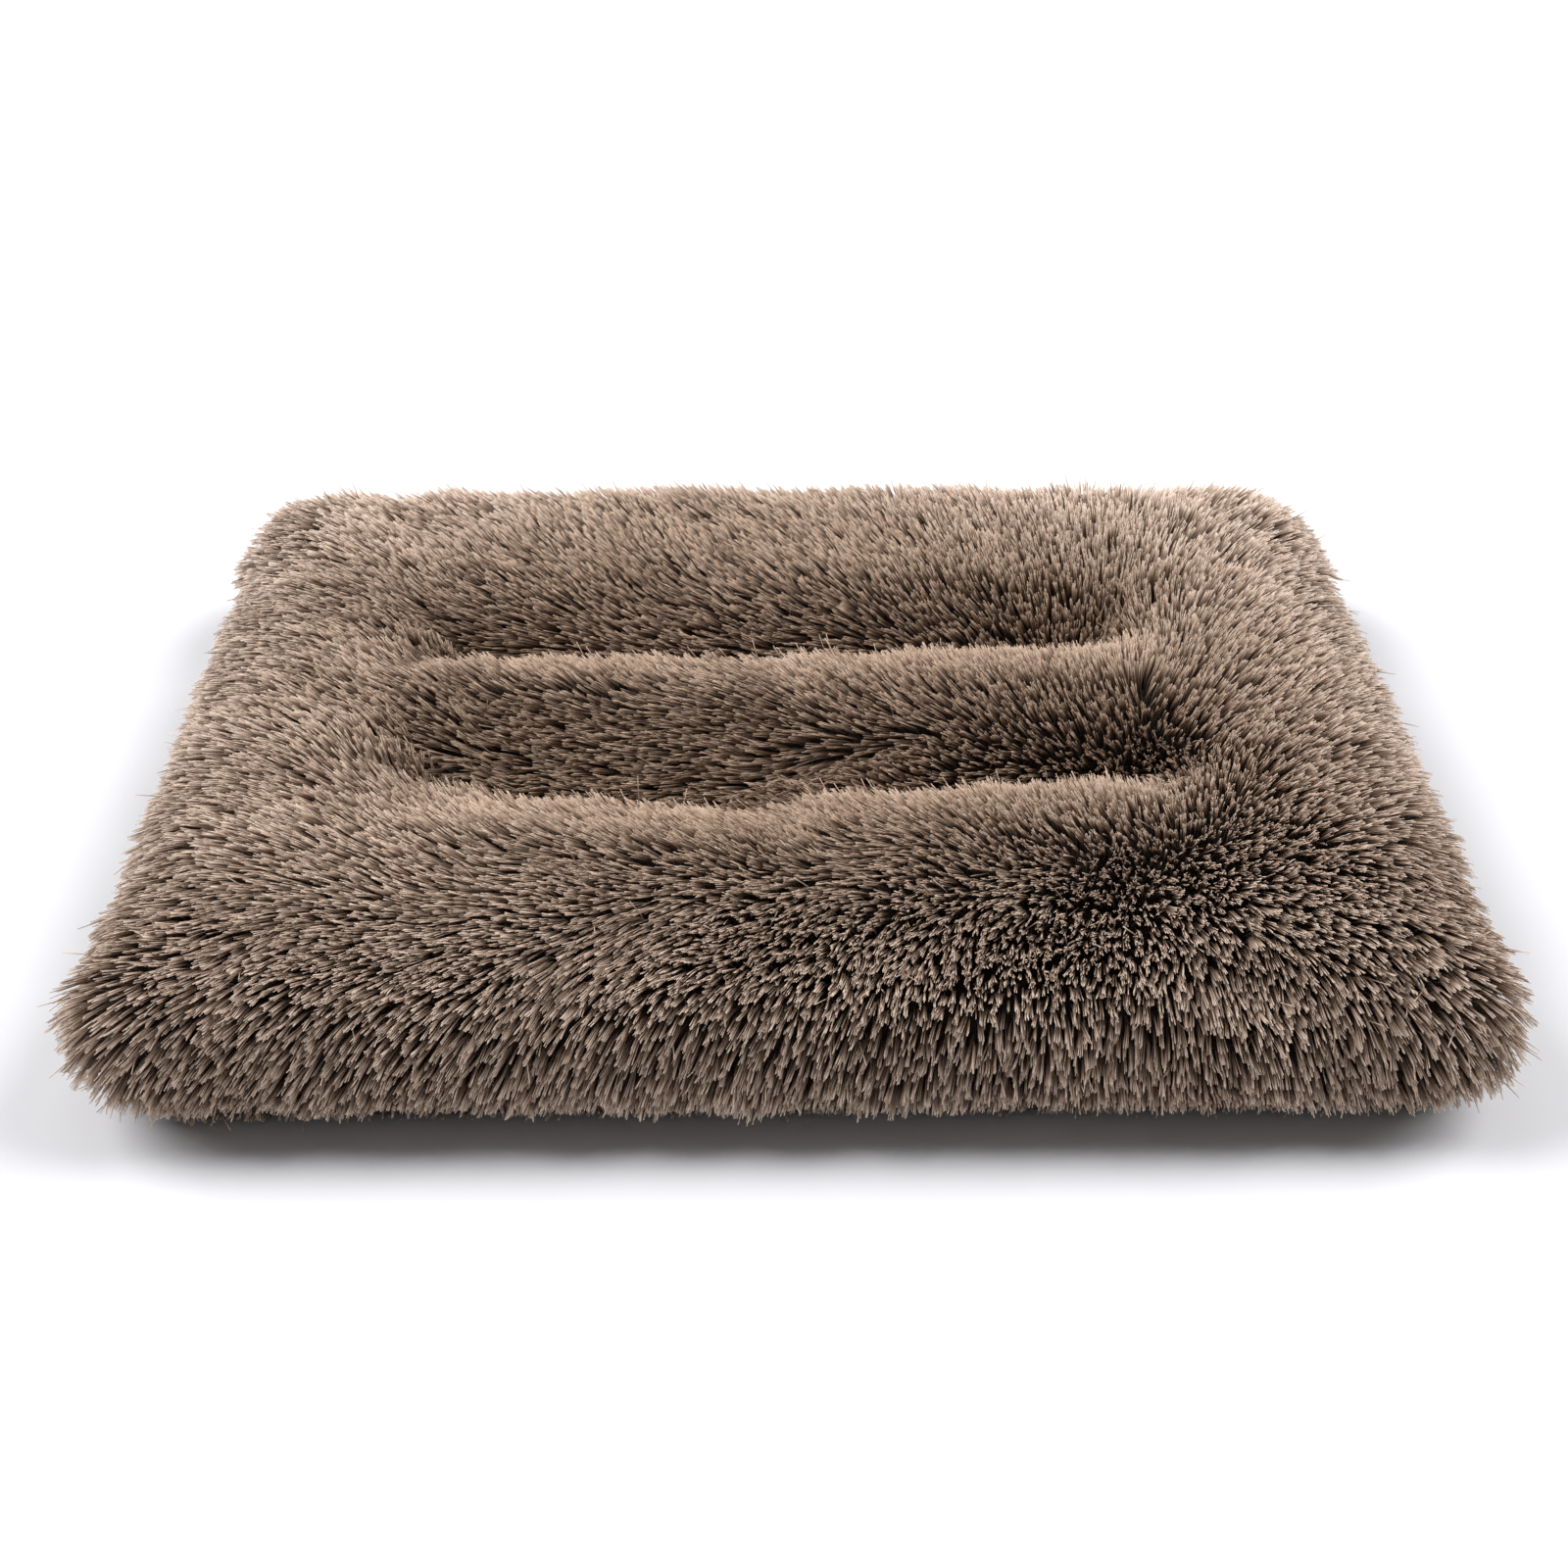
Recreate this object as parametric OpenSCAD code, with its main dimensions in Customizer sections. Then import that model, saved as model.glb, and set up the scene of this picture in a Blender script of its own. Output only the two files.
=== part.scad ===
// Pet cushion bed: a boxed plush mat with two channels sewn through it.
// Frame: millimetres, +Z up, +X to the right, the front edge towards -Y,
// origin at the centre of the underside.

/* [Overall size, laid pile included] */
// Width of the bed, side to side
bed_w = 620; // [530:1:900]
// Depth of the bed, front to back
bed_d = 480; // [380:1:700]
// Height of the bed
bed_h = 76; // [68:1:110]
// Radius of the four corners, seen from above
corner_r = 56; // [46:1:90]
// Rounding of the top edge
top_edge_r = 36; // [28:1:40]
// Rounding of the lower edge, which curves under to the base panel
base_edge_r = 30; // [24:1:34]

/* [Plush] */
// Thickness of the plush: its ground cloth and the laid pile
plush_t = 14; // [10:0.5:18]
// Thickness of the ground cloth that the pile stands on
ground_t = 2; // [1:0.25:4]
// How far the seam between the top panel and the boxing strips lies below the top of the bed
top_seam_drop = 22; // [17:1:34]

/* [Base panel] */
// Thickness of the base panel with its grip coating
base_t = 2.5; // [2:0.1:5]

/* [Sewn channels] */
// Stitched length of each channel
channel_len = 340; // [200:1:380]
// Depth of the dip above the stitches, at the pile surface
channel_depth = 34; // [20:1:44]
// Width of the dip across the channel, at the top of the bed
channel_w = 90; // [72:1:100]
// Y of the front channel
front_channel_y = -54; // [-70:1:-50]
// Y of the rear channel
rear_channel_y = 66; // [60:1:80]
// Length of one stitch in the channels
channel_stitch = 10; // [6:1:20]

/* [Threads] */
// Radius of the sewing thread
thread_r = 0.6; // [0.4:0.05:0.7]
// Room round a thread where it passes through a hole or lies in a slit
thread_gap = 0.2; // [0.1:0.05:0.4]
// Distance of a seam's thread from the inner face of the plush
seam_inset = 2; // [1.2:0.1:4]
// Length of the opening at the back that is sewn shut after filling
closing_len = 180; // [100:5:240]
// Gap at each end of the closing seam
closing_gap = 4; // [2:0.5:10]

/* [Filling] */
// Gap between the fibre fill and the plush round it
fill_gap = 0.5; // [0.3:0.1:2]

/* [Hidden] */

// Steps in each rounded edge of the outline
arc_steps = 6;
// A margin that carries a cutter past the face it cuts
over = 1;
// Sides of a thread's section
thread_sides = 8;
$fn = 48;

// The dip is a round valley with ball ends. Its lowest line is the stitched length.
valley_r = (pow(channel_w / 2, 2) + pow(channel_depth, 2)) / (2 * channel_depth);
valley_z = bed_h - channel_depth + valley_r;
// Faces of the ground cloth at the bottom of a channel
channel_ground_top = bed_h - channel_depth - plush_t + ground_t;
channel_ground_low = channel_ground_top - ground_t;
channel_ys = [front_channel_y, rear_channel_y];
stitches = floor(channel_len / channel_stitch);
// Centre heights of the upper and the lower thread of a channel
upper_thread_z = channel_ground_top + thread_r;
lower_thread_z = thread_r;
slit_w = 2 * (thread_r + thread_gap);
// Places of the seam threads, measured in from the bed's outline
top_seam_z = bed_h - top_seam_drop;
top_seam_dz = max(0, top_edge_r - top_seam_drop);
top_seam_in = top_edge_r - sqrt(pow(top_edge_r - plush_t, 2) - pow(top_seam_dz, 2)) - seam_inset;
join_seam_in = plush_t - seam_inset;
// A side join's thread ends this far inside the rounded lower edge and below the top seam
join_low_z = base_edge_r + seam_inset
    - sqrt(pow(base_edge_r, 2) - pow(base_edge_r - join_seam_in + seam_inset, 2));
join_high_z = top_seam_z - thread_r - seam_inset;
base_seam_z = base_t / 2;

// Points of an arc in the profile plane
function arc(cx, cz, r, from, to) =
    [for (i = [0:arc_steps]) let (a = from + (to - from) * i / arc_steps)
        [cx + r * cos(a), cz + r * sin(a)]];

// Half profile of a slab: its outer edge at x = edge, rounded above and below
function edge_profile(edge, low, high, low_r, high_r) = concat(
    [[0, low]],
    arc(edge - low_r, low + low_r, low_r, -90, 0),
    arc(edge - high_r, high - high_r, high_r, 0, 90),
    [[0, high]]
);

// Whole profile across the slab
function cross_profile(half, low, high, low_r, high_r) =
    let (side = edge_profile(half, low, high, low_r, high_r), n = len(side))
    concat(
        [for (i = [1:n - 2]) side[i]],
        [for (i = [n - 2:-1:1]) [-side[i][0], side[i][1]]]
    );

// A slab with rounded corners, inset from the bed's outline all round
module rounded_slab(inset, low, high, low_r, high_r) {
    r = corner_r - inset;
    half_w = bed_w / 2 - inset;
    half_d = bed_d / 2 - inset;
    rotate([90, 0, 90])
        translate([0, 0, r - half_w])
            linear_extrude(2 * (half_w - r))
                polygon(cross_profile(half_d, low, high, low_r, high_r));
    rotate([90, 0, 0])
        translate([0, 0, r - half_d])
            linear_extrude(2 * (half_d - r))
                polygon(cross_profile(half_w, low, high, low_r, high_r));
    for (i = [0:3]) {
        sx = (i == 0 || i == 3) ? 1 : -1;
        sy = (i < 2) ? 1 : -1;
        translate([sx * (half_w - r), sy * (half_d - r), 0])
            rotate([0, 0, 90 * i])
                rotate_extrude(angle = 90)
                    polygon(edge_profile(r, low, high, low_r, high_r));
    }
}

// A flat plate with the bed's outline, inset all round
module outline_plate(inset, low, high) {
    r = corner_r - inset;
    translate([0, 0, low])
        linear_extrude(high - low)
            union() {
                square([bed_w - 2 * inset - 2 * r, bed_d - 2 * inset], center = true);
                square([bed_w - 2 * inset, bed_d - 2 * inset - 2 * r], center = true);
                for (sx = [-1, 1], sy = [-1, 1])
                    translate([sx * (bed_w / 2 - inset - r), sy * (bed_d / 2 - inset - r)])
                        circle(r);
            }
}

// The whole bed, to the tips of the laid pile
module outer_form() {
    rounded_slab(0, 0, bed_h, base_edge_r, top_edge_r);
}

// The space inside the plush, made smaller by a gap, down to the base panel
module inner_form(gap) {
    t = plush_t + gap;
    rounded_slab(t, t, bed_h - t, base_edge_r - t, top_edge_r - t);
    outline_plate(base_edge_r + gap, base_t, base_edge_r);
}

// A valley along a channel, grown by a thickness
module valley(y, grow) {
    translate([0, y, valley_z]) {
        rotate([0, 90, 0])
            cylinder(h = channel_len, r = valley_r + grow, center = true);
        for (sx = [-1, 1])
            translate([sx * channel_len / 2, 0, 0])
                sphere(valley_r + grow);
    }
}

// The holes that a channel's thread goes down through, between two heights
module stitch_holes(y, low, high) {
    for (i = [0:stitches])
        translate([(i - stitches / 2) * channel_stitch, y, low])
            cylinder(h = high - low, r = thread_r + thread_gap, $fn = thread_sides);
}

// The slit that a channel's thread lies in
module stitch_slit(y, low, high) {
    length = stitches * channel_stitch + slit_w;
    translate([-length / 2, y - slit_w / 2, low])
        cube([length, slit_w, high - low]);
}

// One straight thread between two points on the x axis, with flat ends
module thread_run(x_from, x_to, y, z) {
    translate([x_from, y, z])
        rotate([0, 90, 0])
            cylinder(h = x_to - x_from, r = thread_r, $fn = thread_sides);
}

// A thread that follows the bed's outline, open at the back by a given length
module thread_loop(inset, z, open_len) {
    r = corner_r - inset;
    half_w = bed_w / 2 - inset;
    half_d = bed_d / 2 - inset;
    thread_run(r - half_w, half_w - r, -half_d, z);
    if (open_len > 0) {
        thread_run(r - half_w, -open_len / 2, half_d, z);
        thread_run(open_len / 2, half_w - r, half_d, z);
    } else {
        thread_run(r - half_w, half_w - r, half_d, z);
    }
    for (sx = [-1, 1])
        translate([sx * half_w, half_d - r, z])
            rotate([90, 0, 0])
                cylinder(h = 2 * (half_d - r), r = thread_r, $fn = thread_sides);
    for (i = [0:3]) {
        sx = (i == 0 || i == 3) ? 1 : -1;
        sy = (i < 2) ? 1 : -1;
        translate([sx * (half_w - r), sy * (half_d - r), z])
            rotate([0, 0, 90 * i])
                rotate_extrude(angle = 90)
                    translate([r, 0])
                        circle(thread_r, $fn = thread_sides);
    }
}

// The thread that joins the two strips at one side, straight up inside the plush
module join_thread(side) {
    translate([side * (bed_w / 2 - join_seam_in), 0, join_low_z])
        cylinder(h = join_high_z - join_low_z, r = thread_r, $fn = thread_sides);
}

// One half of the plush band round the sides, below the top seam: the front half or the rear half
module boxing_half(side) {
    difference() {
        intersection() {
            outer_form();
            translate([-bed_w, side > 0 ? 0 : -bed_d, 0])
                cube([2 * bed_w, bed_d, top_seam_z]);
        }
        inner_form(0);
        outline_plate(base_edge_r, -over, base_edge_r);
        thread_loop(top_seam_in, top_seam_z, 0);
        thread_loop(base_edge_r, base_seam_z, 0);
        for (join_side = [-1, 1])
            join_thread(join_side);
    }
}

// One row of stitches through the bed: an upper and a lower thread with legs between them
module channel_stitching(y) {
    first = -stitches / 2 * channel_stitch;
    for (i = [0:stitches])
        translate([first + i * channel_stitch, y, lower_thread_z])
            cylinder(h = upper_thread_z - lower_thread_z, r = thread_r, $fn = thread_sides);
    thread_run(first - thread_r, -first + thread_r, y, upper_thread_z);
    thread_run(first - thread_r, -first + thread_r, y, lower_thread_z);
}

module top_plush_panel() {
    color("rosybrown")
        difference() {
            union() {
                difference() {
                    outer_form();
                    translate([-bed_w, -bed_d, -over])
                        cube([2 * bed_w, 2 * bed_d, top_seam_z + over]);
                    inner_form(0);
                }
                intersection() {
                    union() {
                        for (y = channel_ys)
                            valley(y, plush_t);
                    }
                    outline_plate(top_edge_r, channel_ground_low - over, bed_h);
                }
            }
            thread_loop(top_seam_in, top_seam_z, 0);
            for (y = channel_ys) {
                valley(y, 0);
                stitch_slit(y, channel_ground_top, bed_h);
                stitch_holes(y, channel_ground_low - over, bed_h);
            }
        }
}

module front_boxing_strip() {
    color("tan")
        boxing_half(-1);
}

module rear_boxing_strip() {
    color("burlywood")
        boxing_half(1);
}

module base_panel() {
    color("dimgray")
        difference() {
            outline_plate(base_edge_r, 0, base_t);
            thread_loop(base_edge_r, base_seam_z, 0);
            for (y = channel_ys) {
                stitch_slit(y, -over, slit_w - thread_gap);
                stitch_holes(y, -over, base_t + over);
            }
        }
}

module fibre_fill() {
    color("white")
        difference() {
            inner_form(fill_gap);
            for (y = channel_ys) {
                valley(y, plush_t + fill_gap);
                stitch_holes(y, base_t - over, bed_h);
            }
        }
}

module front_channel_stitching() {
    color("saddlebrown")
        channel_stitching(front_channel_y);
}

module rear_channel_stitching() {
    color("saddlebrown")
        channel_stitching(rear_channel_y);
}

module top_edge_stitching() {
    color("sienna")
        thread_loop(top_seam_in, top_seam_z, 0);
}

module base_edge_stitching() {
    color("sienna")
        thread_loop(base_edge_r, base_seam_z, closing_len);
}

module left_join_stitching() {
    color("sienna")
        join_thread(-1);
}

module right_join_stitching() {
    color("sienna")
        join_thread(1);
}

module closing_stitching() {
    half = closing_len / 2 - closing_gap;
    color("peru")
        thread_run(-half, half, bed_d / 2 - base_edge_r, base_seam_z);
}

top_plush_panel();
front_boxing_strip();
rear_boxing_strip();
base_panel();
fibre_fill();
front_channel_stitching();
rear_channel_stitching();
top_edge_stitching();
base_edge_stitching();
left_join_stitching();
right_join_stitching();
closing_stitching();
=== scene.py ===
import math

import bmesh
import bpy
import numpy as np
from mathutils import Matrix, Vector
from mathutils.bvhtree import BVHTree


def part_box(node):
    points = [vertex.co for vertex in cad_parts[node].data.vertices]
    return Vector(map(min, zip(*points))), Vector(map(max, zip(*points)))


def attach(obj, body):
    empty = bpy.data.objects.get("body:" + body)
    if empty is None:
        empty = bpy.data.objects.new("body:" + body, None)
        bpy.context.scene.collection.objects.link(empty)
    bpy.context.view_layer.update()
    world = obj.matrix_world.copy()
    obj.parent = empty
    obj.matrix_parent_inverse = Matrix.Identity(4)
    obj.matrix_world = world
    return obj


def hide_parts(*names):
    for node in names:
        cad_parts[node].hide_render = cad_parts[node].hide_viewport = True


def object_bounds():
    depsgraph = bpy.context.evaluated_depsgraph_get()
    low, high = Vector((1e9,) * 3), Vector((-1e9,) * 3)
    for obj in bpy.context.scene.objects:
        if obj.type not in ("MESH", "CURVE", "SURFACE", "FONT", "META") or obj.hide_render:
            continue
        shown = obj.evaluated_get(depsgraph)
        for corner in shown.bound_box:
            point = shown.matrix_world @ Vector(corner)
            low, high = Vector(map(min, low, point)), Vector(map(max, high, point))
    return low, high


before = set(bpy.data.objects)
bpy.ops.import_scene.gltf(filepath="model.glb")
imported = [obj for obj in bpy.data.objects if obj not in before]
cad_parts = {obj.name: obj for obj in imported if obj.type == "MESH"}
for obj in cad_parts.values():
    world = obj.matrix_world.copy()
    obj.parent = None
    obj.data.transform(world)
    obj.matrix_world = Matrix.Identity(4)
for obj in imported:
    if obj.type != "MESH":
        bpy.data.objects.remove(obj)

cad_low, cad_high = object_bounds()

# ---------------------------------------------------------------- sizes, in metres, from the frame

HALF_W = (cad_high.x - cad_low.x) / 2
HALF_D = (cad_high.y - cad_low.y) / 2
HEIGHT = cad_high.z
FLOOR_Z = cad_low.z
base_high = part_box("base_panel")[1]
fill_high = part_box("fibre_fill")[1]
# How far the flat underside is set in from the outline
UNDER_IN = HALF_W - base_high.x
# Depth of the laid pile with its ground cloth
PLUSH = HEIGHT - fill_high.z
TOP_SEAM_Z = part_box("front_boxing_strip")[1].z

# The corner roundings of the bed's outline and of the base panel
CORNER_R = 0.056
BASE_CORNER_R = CORNER_R - UNDER_IN

# Channels: line from the stitching, half width and depth of the dip in the ground cloth
CHANNELS = [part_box("front_channel_stitching"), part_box("rear_channel_stitching")]
CHANNEL_HALF_W = 0.066
CHANNEL_DROP = 0.037
# The dip's section is part circle and part parabola
CIRCLE_SHARE = 0.45
PARABOLA_SHARE = 0.55
# How many times shorter a channel's dip is past its ends than to its sides
CHANNEL_END = 1.35
# How far the left end of the front channel curves back, and over what length
FRONT_BEND = 0.010
FRONT_BEND_LENGTH = 0.16
# The channels hold the whole middle of the bed down a little
MIDDLE_SAG = 0.004

# How far the stuffing falls away towards the outline, and over what width
CROWN_FALL = 0.002
CROWN_WIDTH = 0.085
# The front lobe rolls over further than the others, from this far before the middle
FRONT_FROM = 0.105
FRONT_FALL = 0.020
FRONT_FALL_POWER = 1.7

# The stuffed form: the roundings of the block it starts as, its underside and its grid
BLOCK_HIGH_R = 0.026
BLOCK_LOW_R = 0.014
FORM_FLOOR_Z = base_high.z + 0.0005
FORM_GRID = 0.0055
# Room above the form that it is left to swell into
TOP_SWELL = 0.0045

# The ground cloth that the pile grows from, and how far its face is set in from the outline
GROUND_T = 0.0012
GROUND_IN = PLUSH - 0.002
# Gap between the form and the cloth that lies on it
CLOTH_GAP = 0.0002
# Room below the form's edge for the ground cloth, which is turned in this far over the base cloth
UNDER_ROOM = 0.0018
TURN_IN = 0.006

# The base cloth: its height off the floor and thickness, and the printed dots that it stands on
BASE_CLOTH_LIFT = 0.0012
BASE_CLOTH_T = 0.0009
DOT_PITCH = 0.011
DOT_R = 0.0019
DOT_TALL = 0.0014
DOT_BORDER = 0.014

# Stitches: spacing, the gap between two, the thread's radius and its lift off the form
STITCH_PITCH = 0.0045
STITCH_GAP = 0.0012
THREAD_R = 0.00045
STITCH_LIFT = GROUND_T + 0.0004

# Pile
PILE_LENGTH = 0.0245
TUFT_SPACING = 0.00190
STRANDS_PER_TUFT = 4
TUFT_R = 0.00045
STRAND_R = 0.00030
# A strand is a tube with three sides and three rings: root, bend and tip
STRAND_SIDES = 3
STRAND_SHARES = (0.0, 0.55, 1.0)
RING_SHARES = (0.9, 1.0, 0.75)
ROOT_SUNK = 0.0015
# How far the two lengths of a strand lean, as shares of the tuft's lean
LEAN_SHARES = (0.7, 1.2)
MOST_LEAN = math.radians(80)
# How far the tufts, and the strands in a tuft, stray from the way they are laid
TUFT_STRAY = 0.09
STRAND_STRAY = 0.02
# A few loose strands everywhere, and more and longer ones at the lower corners
LOOSE_SHARE = 0.012
LOOSE_STRAY = 0.30
LOOSE_GROWTH = 1.15
CORNER_LOOSE = 0.30
CORNER_GROWTH = 0.40
# Half of the lowest tufts are short and hug the side, behind the fringe of the others
SHORT_BELOW = 0.021
SHORT_SHARE = 0.5
SHORT_LENGTH = 0.011
SHORT_LEAN = math.radians(62)
# The highest that a tip may stand over the top of the bed
TIP_ROOM = 0.0098
# How far the lowest tips curl under with the rounded lower edge, and below what height
TUCK = 0.022
TUCK_BELOW = 0.035
# Faces that look down more steeply than this are under the bed and bear no pile
BARE_NORMAL_Z = -0.75
# How far tips stay off the floor: all of them, those of the fringe, and more at its outer side
TIP_GAP = 0.003
FRINGE_GAP = 0.008
OUTER_GAP = 0.006
# How unevenly they do, in slow waves and from strand to strand
RAGGED = 0.0050
TIP_SCATTER = 0.006
# How strongly the pile is pulled forward over the front lobe, and down on the sides
FORE_PULL = 1.9
DOWN_PULL = 2.4
# How far the way it lies turns here and there, in radians: in wide waves and in narrow ones
WIDE_TURN = 0.28
NARROW_TURN = 0.20
# How far it leans, in degrees: at the parting, more away from it, near the outline and in waves
LEAN = 20
LEAN_AWAY = 27
LEAN_BORDER = 20
LEAN_WAVES = 8
LEAN_LIMITS = (4, 74)
# The pile lies outward from a parting, given as shares of the half width and depth
PARTING = ((0.50, 0.42), (0.60, -0.30))
# Patches of this many strands stay small enough to be exported whole
STRANDS_PER_PIECE = 14000
# The map that the pile's colours are read by: u is a column for each tone, and v runs from root to
# tip.
PILE_UV = "OFBake"
TONES = 64

SEED = 7


# ---------------------------------------------------------------- small helpers

def smoothstep(low, high, value):
    t = np.clip((value - low) / (high - low), 0.0, 1.0)
    return t * t * (3 - 2 * t)


def unit(vectors):
    return vectors / np.maximum(np.linalg.norm(vectors, axis=-1, keepdims=True), 1e-9)


def waves(points, scale, seed, count=7):
    """Smooth noise from -1 to 1, with features about scale metres across."""
    rng = np.random.default_rng(seed)
    total = np.zeros(len(points))
    for _ in range(count):
        axis = unit(rng.normal(size=3))
        phase = rng.uniform(0, 2 * math.pi)
        pitch = scale * rng.uniform(0.7, 1.5)
        total += np.sin(points @ axis * (2 * math.pi / pitch) + phase)
    return total / math.sqrt(count) / 1.4


def coords(mesh):
    points = np.empty(len(mesh.vertices) * 3, np.float32)
    mesh.vertices.foreach_get("co", points)
    return points.reshape(-1, 3).astype(float)


def set_coords(mesh, points):
    mesh.vertices.foreach_set("co", np.ascontiguousarray(points, np.float32).ravel())
    mesh.update()


def add_object(name, mesh, body="root", material=None):
    piece = bpy.data.objects.new(name, mesh)
    bpy.context.scene.collection.objects.link(piece)
    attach(piece, body)
    if material:
        mesh.materials.append(material)
    return piece


def mesh_of_triangles(name, points, triangles, uv=None):
    """A smooth mesh from arrays, much faster than from_pydata."""
    mesh = bpy.data.meshes.new(name)
    mesh.vertices.add(len(points))
    mesh.vertices.foreach_set("co", np.ascontiguousarray(points, np.float32).ravel())
    mesh.loops.add(triangles.size)
    mesh.loops.foreach_set("vertex_index", np.ascontiguousarray(triangles, np.int32).ravel())
    mesh.polygons.add(len(triangles))
    mesh.polygons.foreach_set("loop_start", np.arange(0, triangles.size, 3, dtype=np.int32))
    mesh.polygons.foreach_set("use_smooth", np.ones(len(triangles), bool))
    mesh.update(calc_edges=True)
    if uv is not None:
        layer = mesh.uv_layers.new(name=PILE_UV)
        layer.data.foreach_set("uv", np.ascontiguousarray(uv, np.float32).ravel())
    return mesh


def tube_pattern(rings, sides):
    """Triangles of one closed tube, its corners numbered ring by ring."""
    last = (rings - 1) * sides
    pattern = [(0, c + 1, c) for c in range(1, sides - 1)]
    pattern += [(last, last + c, last + c + 1) for c in range(1, sides - 1)]
    for ring in range(rings - 1):
        for c in range(sides):
            a = ring * sides + c
            b = ring * sides + (c + 1) % sides
            pattern += [(a, b, b + sides), (a, b + sides, a + sides)]
    return np.array(pattern)


def repeated(pattern, count):
    """The triangles of count like shapes, each with its corners after those of the one before."""
    size = pattern.max() + 1
    return (np.arange(count)[:, None, None] * size + pattern[None]).reshape(-1, 3)


def closed_sheet(name, lower, upper, faces):
    """A thin closed sheet: two skins with the same faces, and walls between them round the rim."""
    many = len(lower)
    sides = np.concatenate([faces[:, (0, 1)], faces[:, (1, 2)], faces[:, (2, 0)]])
    back = {(b, a) for a, b in sides.tolist()}
    rim = np.array([e for e in sides.tolist() if tuple(e) not in back])
    a, b = rim[:, 0], rim[:, 1]
    walls = np.concatenate([
        np.stack([a, a + many, b + many], 1),
        np.stack([a, b + many, b], 1),
    ])[:, ::-1]
    shell = np.concatenate([faces + many, faces[:, ::-1], walls])
    return mesh_of_triangles(name, np.concatenate([lower, upper]), shell)


# ---------------------------------------------------------------- materials

class Shader:
    """A Principled material with short calls for its nodes."""

    def __init__(self, name, roughness=0.8, specular=0.3):
        self.material = bpy.data.materials.new(name)
        self.material.use_nodes = True
        self.tree = self.material.node_tree
        self.main = self.tree.nodes["Principled BSDF"]
        self.main.inputs["Roughness"].default_value = roughness
        self.main.inputs["Specular IOR Level"].default_value = specular

    def node(self, kind, **settings):
        """A new node, with its inputs or its properties set by name."""
        made = self.tree.nodes.new(kind)
        for key, value in settings.items():
            if key in made.inputs:
                made.inputs[key].default_value = value
            else:
                setattr(made, key, value)
        return made

    def link(self, source, target):
        self.tree.links.new(source, target)

    def texture(self, kind, **settings):
        """A texture node read at the object's own coordinates."""
        where = self.node("ShaderNodeTexCoord")
        made = self.node(kind, **settings)
        self.link(where.outputs["Object"], made.inputs["Vector"])
        return made

    def ramp(self, source, stops):
        made = self.node("ShaderNodeValToRGB")
        elements = made.color_ramp.elements
        while len(elements) < len(stops):
            elements.new(0.5)
        for element, (place, colour) in zip(elements, stops):
            element.position = place
            element.color = (*colour, 1)
        self.link(source, made.inputs[0])
        return made.outputs[0]

    def multiply(self, a, b, share=1.0):
        made = self.node("ShaderNodeMix", data_type="RGBA", blend_type="MULTIPLY")
        made.inputs[0].default_value = share
        self.link(a, made.inputs[6])
        self.link(b, made.inputs[7])
        return made.outputs[2]

    def colour(self, source):
        self.link(source, self.main.inputs["Base Color"])

    def bump(self, height, strength, distance):
        made = self.node("ShaderNodeBump", Strength=strength, Distance=distance)
        self.link(height, made.inputs["Height"])
        self.link(made.outputs[0], self.main.inputs["Normal"])


def pile_material():
    """Polyester pile: darkened towards the root by painted shade, pale at the tip, with a tone for
    each tuft.
    """
    s = Shader("long_pile_plush", roughness=0.55, specular=0.25)
    place = s.node("ShaderNodeUVMap", uv_map=PILE_UV)
    split = s.node("ShaderNodeSeparateXYZ")
    s.link(place.outputs[0], split.inputs[0])
    # Painted shade: each strand is darkened towards its root, where the pile shades itself
    along = s.ramp(split.outputs[1], [
        (0.00, (0.070, 0.045, 0.032)),
        (0.45, (0.165, 0.110, 0.078)),
        (0.80, (0.400, 0.292, 0.220)),
        (1.00, (0.850, 0.705, 0.590)),
    ])
    tone = s.ramp(split.outputs[0], [
        (0.0, (0.55, 0.50, 0.45)),
        (0.5, (0.95, 0.92, 0.90)),
        (1.0, (1.00, 1.00, 1.00)),
    ])
    # Painted light and shade: paler and greyer towards the borders as painted light, darker and
    # browner a little behind the middle as painted shade with a warmer tone of the pile
    where = s.node("ShaderNodeTexCoord")
    shrink = s.node("ShaderNodeVectorMath", operation="MULTIPLY_ADD")
    s.link(where.outputs["Object"], shrink.inputs[0])
    shrink.inputs[1].default_value = (1 / HALF_W, 1 / HALF_D, 0)
    shrink.inputs[2].default_value = (0, -0.12, 0)
    middle = s.node("ShaderNodeTexGradient", gradient_type="SPHERICAL")
    s.link(shrink.outputs[0], middle.inputs["Vector"])
    painted_light_and_warmth = s.ramp(middle.outputs[1], [
        (0.00, (1.00, 0.99, 0.99)),
        (0.45, (0.67, 0.61, 0.55)),
    ])
    s.colour(s.multiply(s.multiply(along, tone), painted_light_and_warmth))
    s.main.inputs["Sheen Weight"].default_value = 0.15
    s.main.inputs["Sheen Roughness"].default_value = 0.4
    return s.material


def knit_material(name, dark, light, scale):
    """A fine knitted or woven cloth: two crossing waves in colour and height."""
    s = Shader(name, roughness=0.9, specular=0.15)
    rows, cols = (
        s.texture("ShaderNodeTexWave", wave_type="BANDS", bands_direction=way, Scale=scale)
        for way in "XY"
    )
    grain = s.texture("ShaderNodeTexNoise", Scale=scale * 0.6)
    weave = s.multiply(rows.outputs["Color"], cols.outputs["Color"], 0.7)
    tint = s.ramp(weave, [(0.0, dark), (1.0, light)])
    patches = s.ramp(grain.outputs[0], [(0.3, (0.8, 0.8, 0.8)), (0.7, (1, 1, 1))])
    s.colour(s.multiply(tint, patches))
    s.bump(weave, strength=0.5, distance=0.0003)
    return s.material


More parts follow.
